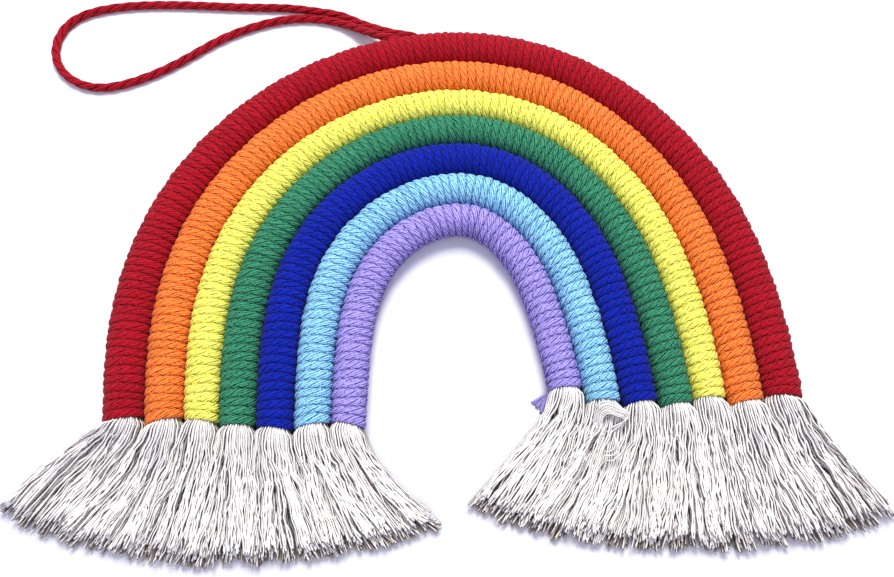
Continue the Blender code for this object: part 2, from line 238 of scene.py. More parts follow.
# %% A socket that can be calculated with
class Wire:
    """One output socket of a material. Operators on wires add Math nodes."""

    def __init__(self, tree, socket=None):
        self.tree = tree
        self.socket = socket

    def make(self, kind, settings=None, output=0, **inputs):
        """Add a node: its settings first, then its sockets' values or links.

        A socket goes by its name, or by n and its number.
        """
        node = self.tree.nodes.new(kind)
        for name, value in (settings or {}).items():
            setattr(node, name, value)
        for name, value in inputs.items():
            place = int(name[1:]) if name[0] == "n" and name[1:].isdigit() else name.replace("_", " ")
            socket = node.inputs[place]
            if isinstance(value, Wire):
                self.tree.links.new(value.socket, socket)
            else:
                socket.default_value = value
        return Wire(self.tree, node.outputs[output])

    def calculate(self, operation, *values):
        """A Math node on one or two values."""
        return self.make("ShaderNodeMath", {"operation": operation},
                         **{f"n{number}": value for number, value in enumerate(values)})

    def __add__(self, other):
        return self.calculate("ADD", self, other)

    __radd__ = __add__

    def __sub__(self, other):
        return self.calculate("SUBTRACT", self, other)

    def __rsub__(self, other):
        return self.calculate("SUBTRACT", other, self)

    def __mul__(self, other):
        return self.calculate("MULTIPLY", self, other)

    __rmul__ = __mul__

    def __truediv__(self, other):
        return self.calculate("DIVIDE", self, other)

    def __rtruediv__(self, other):
        return self.calculate("DIVIDE", other, self)

    def __abs__(self):
        return self.calculate("ABSOLUTE", self)

    def sine(self):
        return self.calculate("SINE", self)

    def cosine(self):
        return self.calculate("COSINE", self)

    def fade(self, low, high):
        """0 below low, 1 above high, and smooth between."""
        return self.make("ShaderNodeMapRange", {"interpolation_type": "SMOOTHSTEP"},
                         Value=self, From_Min=low, From_Max=high)

    def noise(self, scale, detail, roughness=0.5):
        """Soft noise, 0 to 1, at the places that this gives."""
        return self.make("ShaderNodeTexNoise", Vector=self, Scale=scale, Detail=detail,
                         Roughness=roughness)

    def part(self, number):
        """One of the numbers of a vector: 0 for x, 1 for y and 2 for z."""
        return self.make("ShaderNodeSeparateXYZ", output=number, Vector=self)

    def blend(self, first, second):
        """The first colour where this is 0 and the second where it is 1."""
        return self.make("ShaderNodeMix", {"data_type": "RGBA"}, output=2, n0=self, n6=first, n7=second)


# %% [markdown]
# Blender gives each new material one shader, whose sockets take single values or wires. Cotton is
# matt, so every cotton here gets the same faint gloss. Colours are chosen as a screen shows them
# and turned into amounts of light.

# %% Start and finish a material
def start_material(name):
    """A new material: a wire to make nodes with, and its shader."""
    material = bpy.data.materials.new(name)
    material.use_nodes = True
    return material, Wire(material.node_tree), material.node_tree.nodes["Principled BSDF"]


def finish_cotton(material, shader, colour, bump, sheen, roughness):
    """Cotton is matt, with a soft bloom where its fibres stand up at the edge of a form."""
    material.node_tree.links.new(colour.socket, shader.inputs["Base Color"])
    material.node_tree.links.new(bump.socket, shader.inputs["Normal"])
    shader.inputs["Roughness"].default_value = roughness
    shader.inputs["Specular IOR Level"].default_value = 0.12
    shader.inputs["Sheen Weight"].default_value = sheen
    shader.inputs["Sheen Roughness"].default_value = 0.55


def linear(red, green, blue):
    """A colour as a screen shows it, 0 to 255, as the linear light that Blender works with."""
    share = np.array([red, green, blue]) / 255.0
    return tuple(np.where(share <= 0.04045, share / 12.92, ((share + 0.055) / 1.055) ** 2.4))


# %% [markdown]
# ## Twisted cotton cord
# The cord has three plies laid round each other. Where two plies meet there is a groove, which
# runs round the cord once a twist, so on a map of length against angle the grooves are straight
# slanting lines. Three times (angle - length / twist) counts the plies, and the absolute sine of
# that count is a row of rounded ridges with sharp grooves between them, as real plies are. Wound
# tightly round a rope the plies are pulled over and lean more, which a factor on the angle does.
#
# Each ply is made of yarns, which lean more again, and of fibres, which are noise drawn out along
# the ply. Larger patches of noise vary the dye. The finest noise is fuzz, painted as glints where it
# catches light and as darker flecks. The grooves, the valleys between the turns and most of all the
# spots where both meet get painted shade, darker and stronger in colour, as light that goes from
# fibre to fibre there makes them. The low sides of a rope get painted shade too, where its
# neighbours keep the light off.
#
# All of that adds up to one number, the shade and tone, which picks the colour: the deep, painted
# shade, in the grooves, the dye's main colour on the plies, and a painted highlight on their backs.

# %% The cord's material
PLIES = 3
PLY_LEAN = 1.45
PLY_WANDER = 0.22
YARNS_ROUND = 10.0
YARN_LEAN = 4.5
YARN_WANDER = 0.7
FIBRES_ACROSS = 9.0
FIBRES_ALONG = 14.0
FIBRES_ROUND = 2.0
WANDER_SCALE = 260.0
PATCH_SCALE = 120.0
SPECK_SCALE = 1500.0
GROOVE_FADE = (0.04, 0.62)
VALLEY_FADE = (0.1, 0.8)
LOOSE_VALLEY = 0.25
SIDE_HEIGHTS = (6.5 * MM, 12.5 * MM)
SIDE_GAIN = 0.1
DEEP_TO_MAIN = (0.15, 0.85)
MAIN_TO_LIGHT = (0.85, 1.75)
YARN_MEAN = 0.6

ShadeAndTone = namedtuple("ShadeAndTone", "top groove valley crossing fibres patches yarns specks side")
CORD_SHADE_AND_TONE = ShadeAndTone(top=1.59, groove=0.95, valley=0.66, crossing=1.3, fibres=2.4, patches=0.8,
                     yarns=1.8, specks=3.0, side=0.7)
Bump = namedtuple("Bump", "plies fibres yarns strength distance")
CORD_BUMP = Bump(plies=0.7, fibres=0.5, yarns=0.7, strength=0.9, distance=0.22 * MM)
CORD_SHEEN = 0.04
CORD_ROUGHNESS = 0.9


def cord_material(name, dye_in_light, wound):
    """Three-ply dyed cotton cord; wound is true where turns lie side by side, with valleys between."""
    material, wires, shader = start_material(name)
    lay = wires.make("ShaderNodeUVMap", {"uv_map": "lay"})
    along, angle = lay.part(0), lay.part(1)
    place = wires.make("ShaderNodeTexCoord", output=3)

    wander = place.noise(WANDER_SCALE, 2.0) - 0.5
    count = (angle * (PLY_LEAN if wound else 1.0) - along) * PLIES + wander * PLY_WANDER
    ply = abs((count * math.pi).sine())
    fibre_place = wires.make("ShaderNodeCombineXYZ", X=count * FIBRES_ACROSS, Y=along * FIBRES_ALONG,
                             Z=angle * FIBRES_ROUND)
    fibres = fibre_place.noise(1.0, 3.0, 0.6)
    patches = place.noise(PATCH_SCALE, 3.0)
    specks = place.noise(SPECK_SCALE, 1.0)
    yarn_count = angle * YARNS_ROUND - along * YARN_LEAN + (fibres - 0.5) * YARN_WANDER
    yarns = abs((yarn_count * math.pi).sine())

    groove = 1.0 - ply.fade(*GROOVE_FADE)
    valley = 1.0 - (angle * math.tau).cosine().fade(*VALLEY_FADE) if wound else LOOSE_VALLEY
    # Painted shade: the grooves, the valleys between turns and most of all where both meet are darkened
    # in colour, and the specks paint glints and dark flecks; the fibres, patches and yarns are the
    # cord's own tone.
    weight = CORD_SHADE_AND_TONE
    shade_and_tone = weight.top - groove * weight.groove - valley * weight.valley
    shade_and_tone = shade_and_tone - groove * valley * weight.crossing
    shade_and_tone = shade_and_tone + (fibres - 0.5) * weight.fibres + (patches - 0.5) * weight.patches
    shade_and_tone = shade_and_tone + (yarns - YARN_MEAN) * weight.yarns + (specks - 0.5) * weight.specks
    # Painted shade on a wound rope's low sides, and a little painted light over the rest.
    if wound:
        shade_and_tone = shade_and_tone + SIDE_GAIN - (1.0 - place.part(2).fade(*SIDE_HEIGHTS)) * weight.side
    # The light tone is a painted highlight and the deep tone is painted shade; main is the dye itself.
    light, main, deep = ((*linear(*tone), 1.0) for tone in (dye_in_light.light, dye_in_light.main, dye_in_light.deep))
    colour = shade_and_tone.fade(*MAIN_TO_LIGHT).blend(shade_and_tone.fade(*DEEP_TO_MAIN).blend(deep, main), light)
    height = (1.0 - groove) * CORD_BUMP.plies + fibres * CORD_BUMP.fibres + yarns * CORD_BUMP.yarns
    bump = wires.make("ShaderNodeBump", Height=height, Strength=CORD_BUMP.strength,
                      Distance=CORD_BUMP.distance)
    finish_cotton(material, shader, colour, bump, CORD_SHEEN, CORD_ROUGHNESS)
    return material


# %% [markdown]
# The dyes in light, from the innermost arch outwards. Each has three colours: a painted highlight for
# a lit ridge, the cord's own colour as a whole, and painted shade for the grooves.

# %% Mix the dyes
DyeInLight = namedtuple("DyeInLight", "name light main deep")
# Light and deep are a painted highlight and painted shade; main is the dye's own colour.
DYES_IN_LIGHT = (
    DyeInLight("lavender", (180, 165, 235), (116, 101, 191), (48, 34, 104)),
    DyeInLight("sky", (160, 224, 244), (86, 147, 210), (14, 50, 114)),
    DyeInLight("blue", (11, 39, 172), (1, 10, 116), (0, 1, 38)),
    DyeInLight("green", (64, 147, 110), (17, 86, 58), (0, 25, 14)),
    DyeInLight("yellow", (254, 252, 124), (245, 236, 66), (128, 114, 8)),
    DyeInLight("orange", (254, 141, 66), (235, 96, 23), (124, 37, 2)),
    DyeInLight("red", (181, 18, 38), (133, 2, 17), (50, 0, 3)),
)
wound_cords = {dye_in_light.name: cord_material(dye_in_light.name + "_cord", dye_in_light, wound=True) for dye_in_light in DYES_IN_LIGHT}
red_cord = cord_material("red_loop_cord", DYES_IN_LIGHT[-1], wound=False)
print("dyes:", [dye_in_light.name for dye_in_light in DYES_IN_LIGHT])

# %% [markdown]
# ## The hanging loop
# The loop is a free cord: it leaves the outermost arch at the upper left, lies slack on the
# surface in a long flat turn and comes back beside its start. Its route is a list of points,
# and both of its ends run on under the winding. The cord is one tube with three lobes, which turn
# round once in its twist. A lobe's radius follows the absolute sine of one and a half times the
# angle from a groove, to a power below one, which gives three full, rounded plies with a sharp
# groove between each two. The cord measures 3.9 mm across its plies, a little less than the solid
# that it replaces, so its radius has a factor of its own.

# %% Lay the loop's cord along its route
LOOP_DIAMETER = 4.2 * MM
LOOP_FIT = 0.94
LOOP_TWIST = 21.0 * MM
LOOP_GROOVE = 0.24
LOBE_POWER = 0.8
LOOP_STEP = 0.5 * MM
LOOP_MARKS = 900
LOOP_SIDES = 24
LYING = LOOP_DIAMETER / 2 / MM

LOOP_ROUTE = route(
    (-20.9, 114.0, 11.2), (-33.2, 120.7, 7.4), (-42.1, 127.2, 4.0), (-50.7, 132.7, 2.4),
    (-62.2, 135.6, LYING), (-73.6, 137.4, LYING), (-96.2, 138.3, LYING), (-120.0, 139.4, LYING),
    (-143.1, 139.8, LYING), (-161.4, 138.2, LYING), (-172.5, 135.3, LYING), (-180.4, 130.6, LYING),
    (-185.2, 123.2, LYING), (-186.4, 114.6, LYING), (-184.0, 105.4, LYING), (-178.2, 97.8, LYING),
    (-170.2, 92.8, LYING), (-162.2, 91.0, LYING), (-153.7, 91.9, LYING), (-144.2, 95.2, LYING),
    (-132.3, 101.4, LYING), (-120.6, 109.6, LYING), (-109.0, 118.2, LYING), (-94.9, 125.6, LYING),
    (-80.5, 130.2, LYING), (-62.7, 131.1, LYING), (-50.5, 127.8, 2.9), (-41.6, 122.2, 5.6),
    (-35.6, 117.0, 8.8), (-30.6, 113.0, 11.4),
)
TUCKED_START = route((-10.5, 109.3, 10.6), (-15.5, 111.8, 12.3))
TUCKED_END = route((-25.8, 110.4, 13.2), (-21.0, 108.8, 13.0), (-16.5, 107.4, 11.2))


def lobes(turns):
    """The radius of a three-ply cord, as a share of its largest, at an angle given in turns."""
    return 1.0 - LOOP_GROOVE * (1.0 - np.abs(np.sin(math.pi * PLIES * turns)) ** LOBE_POWER)


def lay_loop():
    """The loop's cord and the line it follows, evenly stepped."""
    dense = smooth_line(TUCKED_START + LOOP_ROUTE + TUCKED_END, np.linspace(0.0, 1.0, LOOP_MARKS))[0]
    way = lengths_along(dense)
    marks = np.linspace(0.0, way[-1], round(way[-1] / LOOP_STEP) + 1)
    path = np.stack([np.interp(marks, way, dense[:, axis]) for axis in range(3)], axis=1)
    turns = np.arange(LOOP_SIDES) / LOOP_SIDES
    radii = LOOP_FIT * LOOP_DIAMETER / 2 * lobes(turns[None, :] - marks[:, None] / LOOP_TWIST)
    points, faces, lays = carry_tubes(path[None], radii[None], twist=LOOP_TWIST)
    piece = add_mesh("loop_cord", points, faces, lays)
    piece.data.materials.append(red_cord)
    return piece, path


loop_cord, loop_path = lay_loop()
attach(loop_cord, "root")
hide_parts("hanging_loop")
print("loop:", round(lengths_along(loop_path)[-1] / MM, 1), "mm of cord")

# %% [markdown]
# ## Where the arches run
# The seven arches are parallel curves. Only the innermost one is given, and each next one is set
# out from it by the thicknesses of the ropes between, across the line's direction. The ropes are
# a little fuller over the left shoulder and drawn in at the feet. Where a rope's winding stops is
# given for each leg, and how much its last turn slants. The tables are in millimetres. The line,
# the thicknesses and the fullness weren't drawn by hand: a program fitted them to the edges
# between the colours in a picture of the hanging, and they were rounded and copied here.

# %% The arches' sizes
SOLID_GAP = 0.3 * MM
Arch = namedtuple("Arch", "name thickness left_end right_end left_slant right_slant")
ARCHES = tuple(Arch(name, *(size * MM for size in sizes)) for name, *sizes in (
    ("lavender", 13.5, -67.3, -53.2, 3.4, 2.2),
    ("sky", 14.15, -67.8, -58.3, -1.1, 3.0),
    ("blue", 14.55, -69.0, -58.9, 2.3, 1.2),
    ("green", 14.3, -67.9, -59.6, 0.9, 1.5),
    ("yellow", 13.7, -66.0, -56.9, 2.1, 2.8),
    ("orange", 14.8, -66.4, -58.5, -2.3, 1.0),
    ("red", 15.75, -66.1, -56.9, -1.9, 4.2),
))
Place = namedtuple("Place", "x y")
INNER_LINE = tuple(Place(x * MM, y * MM) for x, y in (
    (-37.2, -76.0), (-36.9, -41.6), (-32.1, -11.0), (-15.5, 12.2), (10.3, 19.1),
    (27.9, 5.2), (38.2, -17.0), (44.3, -42.7), (48.4, -69.0),
))
Fullness = namedtuple("Fullness", "share factor")
FULLNESS = tuple(Fullness(*row) for row in (
    (0.00, 0.966), (0.12, 1.013), (0.30, 1.053), (0.50, 1.022), (0.70, 1.014), (0.88, 0.981),
    (1.00, 0.947),
))
print("rope thicknesses, mm:", [round(arch.thickness / MM, 2) for arch in ARCHES])

# %% [markdown]
# Each centre line is a long row of points. The length up to it, the direction there and the rope's
# radius are kept with each point, so that any length along an arch can be looked up.

# %% The arches' centre lines
LINE_STEPS = 2400
ArchLine = namedtuple("ArchLine", "way centres runs radii")


def arch_line(rank):
    """An arch from its left to its right end: lengths, centres, directions and radii.

    Its centre is the inner line + outward (thicknesses between) fullness(share), and its radius is
    half its thickness x fullness(share).
    """
    shares = np.linspace(0.0, 1.0, LINE_STEPS)
    line, runs = smooth_line(INNER_LINE, shares)
    table = np.array(FULLNESS)
    full = spline(table[:, 0], table[:, 1:], shares)[0]
    outward = np.stack([-runs[:, 1], runs[:, 0]], axis=1)
    thick = [arch.thickness for arch in ARCHES]
    offset = sum(thick[:rank]) + (thick[rank] - thick[0]) / 2
    centres = line + outward * offset * full
    top = int(np.argmax(centres[:, 1]))
    first = int(np.searchsorted(centres[:top, 1], ARCHES[rank].left_end))
    last = top + int(np.searchsorted(-centres[top:, 1], -ARCHES[rank].right_end))
    kept = slice(first, last + 1)
    radii = thick[rank] / 2 * full[kept, 0] - SOLID_GAP / 2
    return ArchLine(lengths_along(centres[kept]), centres[kept], runs[kept], radii)


def at_lengths(line, lengths):
    """Centre, direction and radius of an arch at any array of lengths along it.

    Past its ends an arch runs straight on.
    """
    columns = (line.centres[:, 0], line.centres[:, 1], line.runs[:, 0], line.runs[:, 1], line.radii)
    x, y, run_x, run_y, radius = (np.interp(lengths, line.way, column) for column in columns)
    run = np.stack([run_x, run_y], axis=-1)
    past = lengths - np.clip(lengths, 0.0, line.way[-1])
    return np.stack([x, y], axis=-1) + run * past[..., None], run, radius


lines = [arch_line(rank) for rank in range(len(ARCHES))]
print("arch lengths, mm:", [round(line.way[-1] / MM) for line in lines])

# %% [markdown]
# ## Winding an arch
# A winder turns cord round the rope, each turn pressed against the last. A tube with a bump
# pattern would have a smooth outline, and the turns show at every edge, so the turns are in the
# mesh. The grid's rows run with the cord: a row that has gone once round the rope comes back
# one turn further along. So the whole winding is one helical sheet, as it is one cord, and it
# needs eight rows for each turn. The grid's columns stand round the rope, crowded on top and spread
# underneath, where the rope lies on the surface.
#
# Every face joins four points: one and its neighbour in a row, and the same two in the next row.
# The last column's neighbours are the first column's points one turn further along. The two ends
# of the sheet are closed with fans of triangles.

# %% Join the points of the helical sheet
ACROSS = 8
AROUND = 46


def close_rim(rim, hub):
    """Triangles from a hub point to each edge of a rim."""
    return np.stack([np.full(len(rim), hub), np.roll(rim, -1), rim], axis=1)


def join_sheet(rows, share, twists_at):
    """Blocks of faces of a sheet with so many rows, and their UV pairs.

    UV is (twists of the cord, angle round the cord in turns), whose middle, 0, is on a turn's back.
    """
    at = np.arange(rows * AROUND).reshape(rows, AROUND)
    beside = np.concatenate([at[:, 1:], np.full((rows, 1), -1)], axis=1)
    beside[:rows - ACROSS, -1] = at[ACROSS:, 0]
    quads = np.stack([at[:-1], beside[:-1], beside[1:], at[1:]], axis=-1)
    whole = (quads >= 0).all(axis=-1)
    row = np.arange(rows - 1)[:, None]
    after = np.concatenate([share[:, 1:], np.ones((1, 1))], axis=1)
    here = twists_at(row // ACROSS + share)
    there = twists_at(row // ACROSS + after)
    low = ((row % ACROSS) / ACROSS - 0.5) / 2 + 0.0 * share
    high = low + 0.5 / ACROSS
    lay = corner_pairs((here, low), (there, low), (there, high), (here, high))

    first_rim = np.concatenate([at[0], at[ACROSS:0:-1, 0]])
    last_rim = np.concatenate([at[-1], at[-2:-ACROSS - 2:-1, -1]])
    fans = [close_rim(first_rim, rows * AROUND), close_rim(last_rim[::-1], rows * AROUND + 1)]
    return [quads[whole], *fans], [lay[whole], *(np.zeros((len(fan), 3, 2)) for fan in fans)]


# %% [markdown]
# No winder keeps every turn the same. A few long waves over the rope shift the turns along and
# lift them a little, and because they are waves of whole turns round the rope, the sheet still
# closes.

# %% Waves over a rope
Waves = namedtuple("Waves", "count shortest longest size")
SHIFT_WAVES = Waves(7, 5 * MM, 40 * MM, 0.30 * MM)
LIFT_WAVES = Waves(7, 4 * MM, 20 * MM, 0.16 * MM)


def waves_over(chance, lengths, angles, kind):
    """A sum of waves over a rope's skin, each sin(2 pi length / wave + whole t + start)."""
    total = 0.0
    for _ in range(kind.count):
        wave = chance.uniform(kind.shortest, kind.longest)
        whole = chance.integers(-2, 3)
        start = chance.uniform(0.0, math.tau)
        total = total + np.sin(math.tau * lengths / wave + whole * angles + start)
    return total / math.sqrt(kind.count) * kind.size


# %% [markdown]
# The plies are in the mesh too. They are ridges on a turn's back, and at the rim, where two turns
# touch, the higher of the two plies that meet stands up and pushes the rim towards the lower one,
# which scallops the line between the turns. The last turns are drawn in to the rope, and they
# slant as the end of each winding does.

# %% Wind the arches
PITCH = 3.45 * MM
CROWDING = 0.5
QUARTER = 0.25
TURN_HEIGHT = 0.56 * MM
TURN_POWER = 0.8
PLY_HEIGHT = 0.44 * MM
PLY_POWER = 0.7
PLY_MEAN = 0.6
PLY_TWIST = 10.8 * MM
TWIST_WANDER = 0.10
TWIST_RATES = (0.31, 0.83, 1.37)
RIM_HEIGHT = 0.75 * MM
SCALLOP = 0.50 * MM
PROUD = 0.25 * MM
END_OVERHANG = 0.6 * MM
END_REACH = 3.0 * MM
END_DRAW = 0.05
END_ARCH = 0.4 * MM
END_LEVEL = 0.3
SLANT_REACH = 9.0 * MM
WINDING_SEED = 100


def wind_arch(rank):
    """The winding of one arch, as one closed helical sheet.

    With alpha = pi (across - 1/2), the point at turn n, across 0 to 1 and angle t is at length
    pitch (n + (1 + sin alpha) / 2 + share of the way round - 1/2) along the rope, and its distance
    from the rope's middle is core + cos(alpha)^0.8 (turn height + ply height (ply - mean) + lift)
    + rim height (higher ply at the rim - 1) sin(alpha)^2.
    """
    arch = ARCHES[rank]
    line = lines[rank]
    chance = np.random.default_rng(WINDING_SEED + rank)
    wound = line.way[-1] + 2.0 * END_OVERHANG
    turns = int(round(wound / PITCH))
    pitch = wound / turns
    rows = ACROSS * turns + 1

    row = np.arange(rows)[:, None]
    turn = row // ACROSS
    alpha = math.pi * ((row % ACROSS) / ACROSS - 0.5)
    share = np.arange(AROUND)[None, :] / AROUND
    share = share + CROWDING / math.tau * np.sin(math.tau * share)
    angle = math.tau * (share - QUARTER)
    length = pitch * (turn + (1.0 + np.sin(alpha)) / 2 + share - 0.5) - END_OVERHANG
    inside = np.clip(np.minimum(length, line.way[-1] - length) / END_REACH, 0.0, 1.0)
    girth = math.tau * (float(np.mean(line.radii)) - TURN_HEIGHT / 2)
    starts = chance.uniform(0.0, math.tau, len(TWIST_RATES))

    def twists_at(place):
        """How often the cord has turned about itself where it has gone round the rope place times."""
        loose = sum(np.sin(math.tau * place * rate + start)
                    for rate, start in zip(TWIST_RATES, starts))
        return place * girth / PLY_TWIST + TWIST_WANDER * loose

    def ply_at(around, place):
        """0 in a groove and 1 on a ply's back, at a share of the way round the cord."""
        count = PLIES * (around * PLY_LEAN - twists_at(place))
        return np.abs(np.sin(math.pi * count)) ** PLY_POWER

    place = turn + share
    side = np.where(alpha < 0.0, -1.0, 1.0)
    own = ply_at(side * QUARTER, place)
    other = ply_at(-side * QUARTER, place + side)
    ply = ply_at(alpha / math.tau, place)
    edge = np.sin(alpha) ** 2

    shifted = length + waves_over(chance, length, angle, SHIFT_WAVES) * inside
    shifted = shifted + side * (own - other) * SCALLOP * edge * inside
    near_left = np.clip(1.0 - length / SLANT_REACH, 0.0, 1.0)
    near_right = np.clip(1.0 - (line.way[-1] - length) / SLANT_REACH, 0.0, 1.0)
    set_back = END_ARCH * (np.sin(angle) - END_LEVEL)
    shifted = shifted + near_left * (arch.left_slant / 2 * np.cos(angle) + set_back)
    shifted = shifted + near_right * (arch.right_slant / 2 * np.cos(angle) - set_back)
    centre, run, radius = at_lengths(line, shifted)

    lift = waves_over(chance, length, angle, LIFT_WAVES)
    drawn = 1.0 - END_DRAW * (1.0 - inside) ** 2
    height = TURN_HEIGHT + PLY_HEIGHT * (ply - PLY_MEAN) + lift
    proud = radius * drawn + PROUD - TURN_HEIGHT + np.cos(alpha) ** TURN_POWER * height
    proud = proud + RIM_HEIGHT * (np.maximum(own, other) - 1.0) * edge
    outward = np.stack([-run[..., 1], run[..., 0]], axis=-1)
    flat = centre + outward * (proud * np.cos(angle))[..., None]
    up = np.maximum(radius + proud * np.sin(angle), 0.0)
    points = np.concatenate([flat, up[..., None]], axis=-1).reshape(-1, 3)

    middles = at_lengths(line, np.array([0.0, line.way[-1]]))
    hubs = np.concatenate([middles[0], middles[2][:, None]], axis=1)
    points = np.concatenate([points, hubs])
    piece = add_mesh("winding_" + arch.name, points, *join_sheet(rows, share, twists_at))
    piece.data.materials.append(wound_cords[arch.name])
    return piece


for rank, arch in enumerate(ARCHES):
    winding = wind_arch(rank)
    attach(winding, "root")
    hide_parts("arch_" + arch.name)

# %% [markdown]
# ## Undyed yarn
# The fringe is the rope's own yarn, combed out: soft, off-white and a little less dull than the
# cord. Its fibres run nearly straight, so the noise is drawn out along the yarn.
#
# The painted shade is one sum again. It falls on the sides of a yarn, in patches, in the notches
# between two necks, close to the surface, and most of all low down near the cut ends, where little
# light gets into the pile. The very ends are painted a little lighter, and every yarn has a tone of
# its own.

# %% The yarn's material
YARN_TWIST = 5 * MM
YARN_PLIES = 2.0
YARN_FIBRES_ACROSS = 6.0
YARN_FIBRE_LENGTH = 2.5 * MM
YARN_PATCH_SCALE = 260.0
SIDE_OF_YARN_FADE = (-0.35, 0.7)
PATCH_FADE = (0.35, 0.65)
PARTED_FADE = (0.02, 0.3)
NOTCH_FADE = (0.08, 0.3)
NOTCH_HEIGHTS = (6.5 * MM, 10.5 * MM)
FLOOR_HEIGHTS = (0.8 * MM, 4.2 * MM)
ENDS_FADE = (0.72, 0.88)
ENDS_HEIGHTS = (2.8 * MM, 4.3 * MM)
TIP_FADE = (0.98, 1.0)

Shade = namedtuple("Shade", "top notch side patches closed floor ends tip fibres")
YARN_SHADE = Shade(top=1.09, notch=0.6, side=0.55, patches=0.6, closed=0.4, floor=0.08, ends=0.74,
                   tip=0.4, fibres=0.5)
YARN_PLY_BUMP = 0.6
YARN_FIBRE_BUMP = 0.5
YARN_BUMP_STRENGTH = 0.6
YARN_BUMP_DEPTH = 0.06 * MM
YARN_ROUGHNESS = 0.8


def yarn_material(name, light, deep, sheen):
    """Fine cotton yarn with a slight twist."""
    material, wires, shader = start_material(name)
    lay = wires.make("ShaderNodeUVMap", {"uv_map": "lay"})
    along, angle = lay.part(0), lay.part(1)
    place = wires.make("ShaderNodeTexCoord", output=3)
    above = place.part(2)
    share = wires.make("ShaderNodeAttribute", {"attribute_name": "share"}, output=2)
    tone = wires.make("ShaderNodeAttribute", {"attribute_name": "tone"}, output=2)

    count = angle * YARN_PLIES - along / YARN_TWIST
    ply = abs((count * math.pi).sine())
    fibre_place = wires.make("ShaderNodeCombineXYZ", X=count * YARN_FIBRES_ACROSS,
                             Y=along / YARN_FIBRE_LENGTH, Z=angle)
    fibres = fibre_place.noise(1.0, 3.0, 0.6)
    patches = place.noise(YARN_PATCH_SCALE, 2.0)

    # Painted shade: on each yarn's sides, in patches, in the notches between necks, near the surface
    # and over the low cut ends, less at the very tips; the tone and fibres are the yarn's own.
    weight = YARN_SHADE
    side = 1.0 - (angle * math.tau).sine().fade(*SIDE_OF_YARN_FADE)
    side = side * (weight.side + weight.patches * patches.fade(*PATCH_FADE))
    parted = weight.closed + (1.0 - weight.closed) * share.fade(*PARTED_FADE)
    notch = (1.0 - share.fade(*NOTCH_FADE)) * (1.0 - above.fade(*NOTCH_HEIGHTS))
    ends = share.fade(*ENDS_FADE) * (1.0 - above.fade(*ENDS_HEIGHTS))
    ends = ends * (1.0 - share.fade(*TIP_FADE) * weight.tip)
    shade = weight.top + tone - notch * weight.notch - side * parted
    shade = shade - (1.0 - above.fade(*FLOOR_HEIGHTS)) * weight.floor - ends * weight.ends
    shade = shade + (fibres - 0.5) * weight.fibres
    colour = shade.fade(0.0, 1.0).blend((*deep, 1.0), (*light, 1.0))
    height = ply * YARN_PLY_BUMP + fibres * YARN_FIBRE_BUMP
    bump = wires.make("ShaderNodeBump", Height=height, Strength=YARN_BUMP_STRENGTH,
                      Distance=YARN_BUMP_DEPTH)
    finish_cotton(material, shader, colour, bump, sheen, YARN_ROUGHNESS)
    return material


# The second colour is the painted shade in the pile's gaps and low ends.
natural_yarn = yarn_material("natural_yarn", linear(252, 249, 246), linear(141, 127, 113), 0.1)

# %% [markdown]
# ## The fringe
# Below each winding the rope opens into a tassel of fine yarns. They leave the neck side by side,
# fan out, wave a little where the comb has not straightened the twist out of them, and lie down in
# a low pile on the surface. All the yarns of a tassel are one array.
#
# The seven tassels of a side make one fringe, so where a yarn ends depends on its place in the
# whole fringe, which leans out to both sides. Its outermost yarns are swung out as soon as they
# leave the neck.

# %% Set the fringes out
Fringe = namedtuple("Fringe", "side seed lean_first lean_last long_first long_middle long_last"
                              " swung_first swung_last")
FRINGES = (
    Fringe("left", 11, -48.5, 39.5, 45.5 * MM, 47.5 * MM, 44.0 * MM, 0.75, -0.05),
    Fringe("right", 23, -37.0, 33.5, 49.5 * MM, 54.0 * MM, 49.5 * MM, 0.15, 0.4),
)
LEAN_POWER = 2.2
BULGE_POWER = 4
SWUNG_WIDTH = 0.22

Neck = namedtuple("Neck", "rank centre out along radius slant")


def neck_of(rank, side):
    """Where an arch's rope comes out of its winding, its way out and its way across."""
    line = lines[rank]
    end = 0 if side == "left" else -1
    out = -line.runs[end] if side == "left" else line.runs[end]
    slant = ARCHES[rank].left_slant if side == "left" else ARCHES[rank].right_slant
    return Neck(rank, line.centres[end], out, np.array([-out[1], out[0]]), line.radii[end], slant)


def soft_step(value):
    """0 below 0, 1 above 1, and smooth between."""
    value = np.clip(value, 0.0, 1.0)
    return value * value * (3.0 - 2.0 * value)


def fan_of(fringe, necks):
    """Two functions of a share of the fringe's width: where yarns end, and how far they swing out."""
    first = necks[0].centre - necks[0].along * necks[0].radius
    last = necks[-1].centre + necks[-1].along * necks[-1].radius

    def tips(share):
        inner = np.clip(share, 0.0, 1.0)
        lean = fringe.lean_first * (1.0 - inner) ** LEAN_POWER + fringe.lean_last * inner ** LEAN_POWER
        lean = np.radians(lean)
        bulge = 1.0 - (2.0 * share - 1.0) ** BULGE_POWER
        long = fringe.long_first + (fringe.long_last - fringe.long_first) * share
        long = long + (fringe.long_middle - (fringe.long_first + fringe.long_last) / 2) * bulge
        way = np.stack([np.sin(lean), -np.cos(lean)], axis=-1)
        return first + (last - first) * share[..., None] + way * long[..., None]

    def swung(share):
        first = soft_step(1.0 - share / SWUNG_WIDTH) * fringe.swung_first
        return first + soft_step(1.0 - (1.0 - share) / SWUNG_WIDTH) * fringe.swung_last

    return tips, swung


# %% [markdown]
# The yarns of a tassel are set out in its round neck like the seeds of a sunflower: each is a
# golden turn further round than the one before, which fills a disc evenly. A yarn's place in the
# disc gives its place in the flat pile: how far it lies to one side, and how high. Combing leaves
# locks of yarns that keep together, so each yarn is also sorted into a lock.

